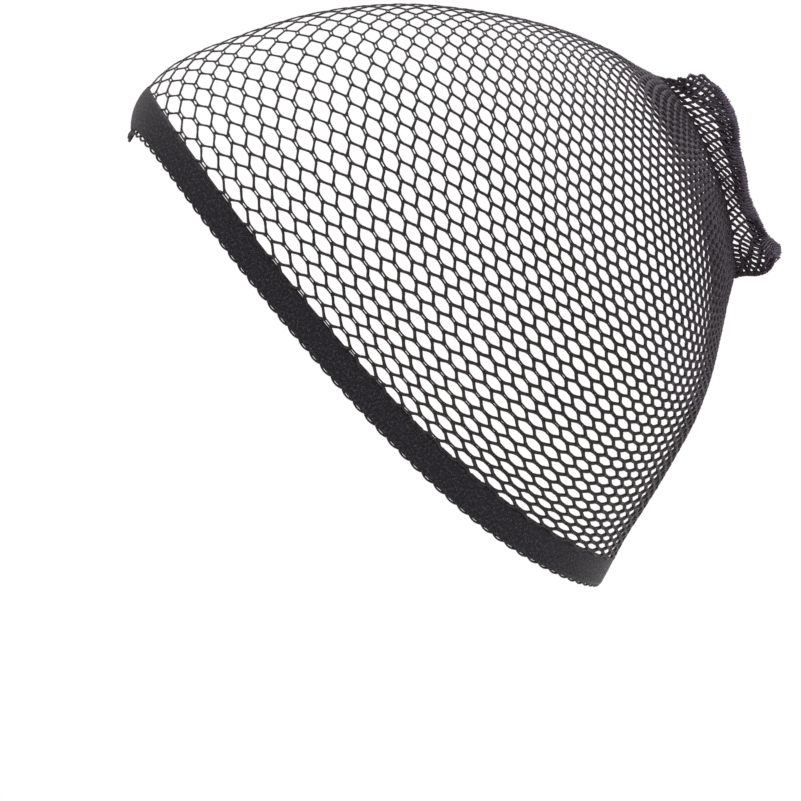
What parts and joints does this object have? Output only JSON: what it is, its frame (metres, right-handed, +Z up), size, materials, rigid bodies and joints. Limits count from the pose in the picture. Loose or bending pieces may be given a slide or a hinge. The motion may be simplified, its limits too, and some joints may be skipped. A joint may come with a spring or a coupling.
{
  "type": "wig cap",
  "caption": "Close-fitting dome of knitted net with a woven elastic band round its tilted opening and a flattened, ruffled end standing up at the back.",
  "frame": {"origin": "inside top of the crown, in the plane that halves the head, where the head carries the cap", "axes": "+Z up, -Y towards the wearer's face, +X to the wearer's left"},
  "size_m": [0.1527, 0.1992, 0.1784],
  "materials": {
    "net_yarn": "near-black knitted polyester and elastane net, matt with a faint warm sheen",
    "band_elastic": "near-black woven elastic with a looped edge, matt",
    "frill_yarn": "near-black knitted net, relaxed and dense, matt",
    "seam_thread": "near-black overlock thread over the rolled end of the net, matt"
  },
  "bodies": {
    "root": {"crown_net": "net_yarn", "elastic_band": "band_elastic", "gathered_frill": "frill_yarn", "end_seam": "seam_thread"}
  },
  "joints": []
}
